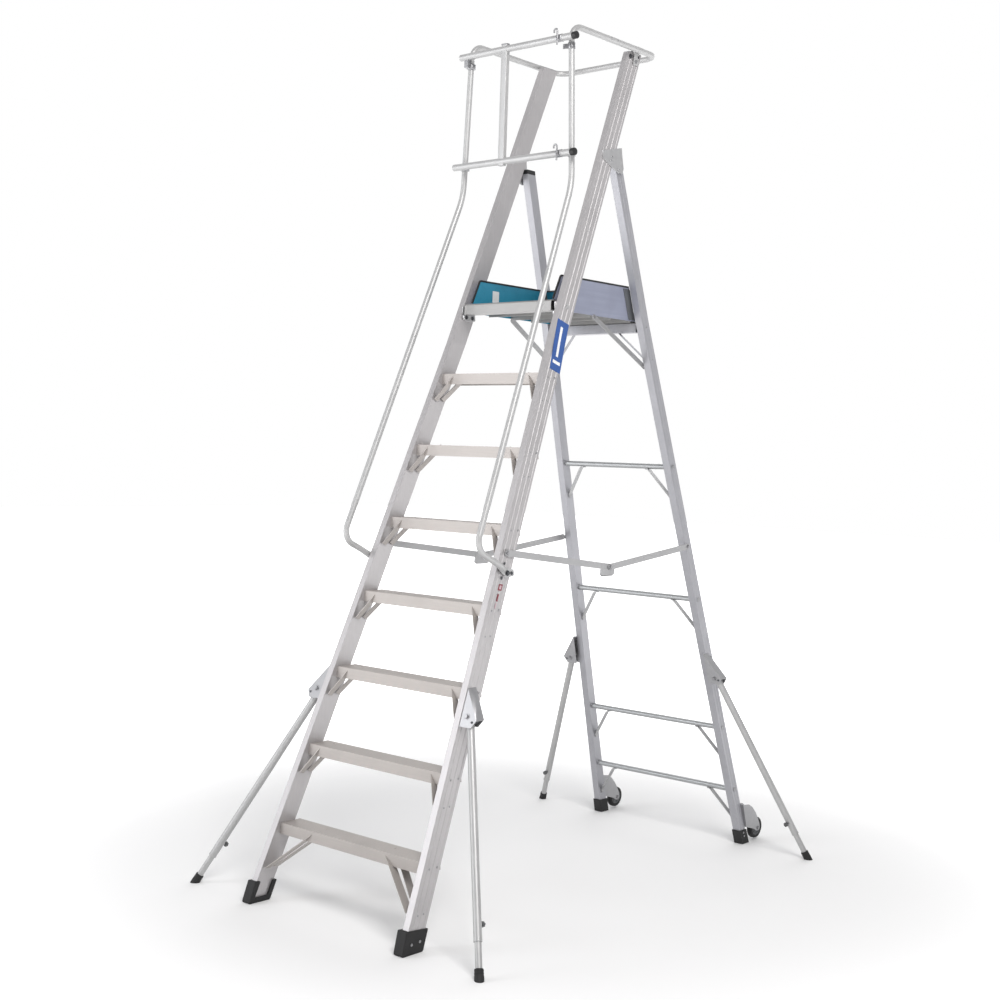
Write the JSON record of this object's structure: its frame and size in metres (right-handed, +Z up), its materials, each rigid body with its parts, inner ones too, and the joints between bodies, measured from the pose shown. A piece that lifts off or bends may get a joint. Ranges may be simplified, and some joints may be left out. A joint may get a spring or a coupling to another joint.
{
  "type": "rolling warehouse ladder",
  "caption": "Folding platform step-ladder with flat treads, handrails, a gated top platform, rear wheels and swing-out stabiliser legs.",
  "frame": {"origin": "on the floor, at the centre of the bounding box footprint", "axes": "+Z up, -Y towards the climbing side, +X to the climber's right"},
  "size_m": [1.5852, 2.422, 3.509],
  "materials": {
    "stile": "extruded, satin",
    "rear_stile": "extruded, satin",
    "tread": "ribbed extrusion, satin",
    "tube": "drawn tube, semi-bright",
    "deck": "ribbed plank, satin",
    "toe_board": "satin",
    "bracket": "pressed, dull",
    "steel": "zinc plated",
    "rubber": "matt",
    "plastic": "matt"
  },
  "bodies": {
    "front_frame": {"stile_front_left": "stile", "stile_front_right": "stile", "shoe_front_left": "rubber", "shoe_front_right": "rubber", "tread_1": "tread", "tread_2": "tread", "tread_3": "tread", "tread_4": "tread", "tread_5": "tread", "tread_6": "tread", "tread_7": "tread", "handrail_left": "tube", "handrail_right": "tube", "guardrail_rear": "tube", "hinge_plate_left": "steel", "hinge_plate_right": "steel", "outrigger_bracket_front_left": "bracket", "outrigger_bracket_front_right": "bracket"},
    "rear_frame": {"stile_rear_left": "rear_stile", "stile_rear_right": "rear_stile", "cap_rear_left": "plastic", "cap_rear_right": "plastic", "shoe_rear_left": "rubber", "shoe_rear_right": "rubber", "rung_1": "tube", "rung_2": "tube", "rung_3": "tube", "rung_4": "tube", "platform_rail": "rear_stile", "wheel_fork_left": "bracket", "wheel_fork_right": "bracket", "outrigger_bracket_rear_left": "bracket", "outrigger_bracket_rear_right": "bracket"},
    "platform": {"deck": "deck", "toe_board_left": "toe_board", "toe_board_right": "toe_board", "toe_board_rear": "toe_board"},
    "gate": {"gate": "tube"},
    "latch_upper": {"latch_upper": "steel"},
    "latch_lower": {"latch_lower": "steel"},
    "platform_brace_left": {"platform_brace_left": "tube"},
    "platform_brace_right": {"platform_brace_right": "tube"},
    "stay_front_left": {"stay_front_left": "tube"},
    "stay_rear_left": {"stay_rear_left": "tube"},
    "stay_front_right": {"stay_front_right": "tube"},
    "stay_rear_right": {"stay_rear_right": "tube"},
    "outrigger_front_left": {"outrigger_tube_front_left": "tube"},
    "outrigger_leg_front_left": {"outrigger_leg_front_left": "tube"},
    "outrigger_knob_front_left": {"outrigger_knob_front_left": "plastic"},
    "outrigger_front_right": {"outrigger_tube_front_right": "tube"},
    "outrigger_leg_front_right": {"outrigger_leg_front_right": "tube"},
    "outrigger_knob_front_right": {"outrigger_knob_front_right": "plastic"},
    "outrigger_rear_left": {"outrigger_tube_rear_left": "tube"},
    "outrigger_leg_rear_left": {"outrigger_leg_rear_left": "tube"},
    "outrigger_knob_rear_left": {"outrigger_knob_rear_left": "plastic"},
    "outrigger_rear_right": {"outrigger_tube_rear_right": "tube"},
    "outrigger_leg_rear_right": {"outrigger_leg_rear_right": "tube"},
    "outrigger_knob_rear_right": {"outrigger_knob_rear_right": "plastic"},
    "wheel_left": {"wheel_left": "plastic"},
    "wheel_right": {"wheel_right": "plastic"}
  },
  "joints": [
    {"name": "rear_fold", "type": "hinge", "parent": "front_frame", "child": "rear_frame", "pos_m": [0, 0.129, 2.985], "axis": [-1, 0, 0], "range_deg": [0, 36]},
    {"name": "platform_fold", "type": "hinge", "parent": "front_frame", "child": "platform", "pos_m": [0, -0.221, 2.372], "axis": [1, 0, 0], "range_deg": [0, 48]},
    {"name": "platform_brace_left_swing", "type": "hinge", "parent": "rear_frame", "child": "platform_brace_left", "pos_m": [-0.248, 0.369, 2.17], "axis": [-1, 0, 0], "range_deg": [0, 44]},
    {"name": "platform_brace_right_swing", "type": "hinge", "parent": "rear_frame", "child": "platform_brace_right", "pos_m": [0.248, 0.369, 2.17], "axis": [-1, 0, 0], "range_deg": [0, 44]},
    {"name": "stay_front_left_swing", "type": "hinge", "parent": "front_frame", "child": "stay_front_left", "pos_m": [-0.348, -0.616, 1.396], "axis": [1, 0, 0], "range_deg": [0, 70]},
    {"name": "stay_rear_left_swing", "type": "hinge", "parent": "rear_frame", "child": "stay_rear_left", "pos_m": [-0.354, 0.599, 1.39], "axis": [-1, 0, 0], "range_deg": [0, 74]},
    {"name": "stay_front_right_swing", "type": "hinge", "parent": "front_frame", "child": "stay_front_right", "pos_m": [0.348, -0.616, 1.396], "axis": [1, 0, 0], "range_deg": [0, 70]},
    {"name": "stay_rear_right_swing", "type": "hinge", "parent": "rear_frame", "child": "stay_rear_right", "pos_m": [0.354, 0.599, 1.39], "axis": [-1, 0, 0], "range_deg": [0, 74]},
    {"name": "outrigger_front_left_fold", "type": "hinge", "parent": "front_frame", "child": "outrigger_front_left", "pos_m": [-0.40848, -0.86152, 0.8], "axis": [0, -0.9288, 0.3707], "range_deg": [0, 19]},
    {"name": "outrigger_leg_front_left_slide", "type": "slide", "parent": "outrigger_front_left", "child": "outrigger_leg_front_left", "axis": [-0.3903, -0.3413, -0.8551], "range_m": [-0.07, 0.15]},
    {"name": "outrigger_knob_front_left_turn", "type": "hinge", "parent": "outrigger_front_left", "child": "outrigger_knob_front_left", "pos_m": [-0.69829, -1.10046, 0.15922], "axis": [0, 0.9288, -0.3707], "range_deg": [0, 360]},
    {"name": "outrigger_front_right_fold", "type": "hinge", "parent": "front_frame", "child": "outrigger_front_right", "pos_m": [0.40848, -0.86152, 0.8], "axis": [0, 0.9288, -0.3707], "range_deg": [0, 19]},
    {"name": "outrigger_leg_front_right_slide", "type": "slide", "parent": "outrigger_front_right", "child": "outrigger_leg_front_right", "axis": [0.3903, -0.3413, -0.8551], "range_m": [-0.07, 0.15]},
    {"name": "outrigger_knob_front_right_turn", "type": "hinge", "parent": "outrigger_front_right", "child": "outrigger_knob_front_right", "pos_m": [0.69829, -1.10046, 0.15922], "axis": [0, 0.9288, -0.3707], "range_deg": [0, 360]},
    {"name": "outrigger_rear_left_fold", "type": "hinge", "parent": "rear_frame", "child": "outrigger_rear_left", "pos_m": [-0.4124, 0.78282, 0.8], "axis": [0, -0.9553, -0.2958], "range_deg": [0, 19]},
    {"name": "outrigger_leg_rear_left_slide", "type": "slide", "parent": "outrigger_rear_left", "child": "outrigger_leg_rear_left", "axis": [-0.3946, 0.2718, -0.8778], "range_m": [-0.07, 0.15]},
    {"name": "outrigger_knob_rear_left_turn", "type": "hinge", "parent": "outrigger_rear_left", "child": "outrigger_knob_rear_left", "pos_m": [-0.69783, 0.96451, 0.16039], "axis": [0, -0.9553, -0.2958], "range_deg": [0, 360]},
    {"name": "outrigger_rear_right_fold", "type": "hinge", "parent": "rear_frame", "child": "outrigger_rear_right", "pos_m": [0.4124, 0.78282, 0.8], "axis": [0, 0.9553, 0.2958], "range_deg": [0, 19]},
    {"name": "outrigger_leg_rear_right_slide", "type": "slide", "parent": "outrigger_rear_right", "child": "outrigger_leg_rear_right", "axis": [0.3946, 0.2718, -0.8778], "range_m": [-0.07, 0.15]},
    {"name": "outrigger_knob_rear_right_turn", "type": "hinge", "parent": "outrigger_rear_right", "child": "outrigger_knob_rear_right", "pos_m": [0.69783, 0.96451, 0.16039], "axis": [0, -0.9553, -0.2958], "range_deg": [0, 360]},
    {"name": "wheel_left_spin", "type": "hinge", "parent": "rear_frame", "child": "wheel_left", "pos_m": [-0.41, 1.161, 0.056], "axis": [1, 0, 0], "continuous": true},
    {"name": "wheel_right_spin", "type": "hinge", "parent": "rear_frame", "child": "wheel_right", "pos_m": [0.41, 1.161, 0.056], "axis": [1, 0, 0], "continuous": true},
    {"name": "gate_swing", "type": "hinge", "parent": "front_frame", "child": "gate", "pos_m": [-0.2891, -0.2324, 2.98], "axis": [-0.0428, 0, -0.9991], "range_deg": [0, 95]},
    {"name": "latch_upper_lift", "type": "slide", "parent": "gate", "child": "latch_upper", "axis": [0, 0, 1], "range_m": [0, 0.03]},
    {"name": "latch_lower_lift", "type": "slide", "parent": "gate", "child": "latch_lower", "axis": [0, 0, 1], "range_m": [0, 0.03]}
  ],
  "couplings": [
    {"joint": "platform_fold", "follows": "rear_fold", "ratio": 1.3148},
    {"joint": "platform_brace_left_swing", "follows": "rear_fold", "ratio": 1.198},
    {"joint": "platform_brace_right_swing", "follows": "rear_fold", "ratio": 1.198},
    {"joint": "stay_front_left_swing", "follows": "rear_fold", "ratio": 1.9176},
    {"joint": "stay_rear_left_swing", "follows": "rear_fold", "ratio": 2.0222},
    {"joint": "stay_front_right_swing", "follows": "rear_fold", "ratio": 1.9176},
    {"joint": "stay_rear_right_swing", "follows": "rear_fold", "ratio": 2.0222}
  ]
}
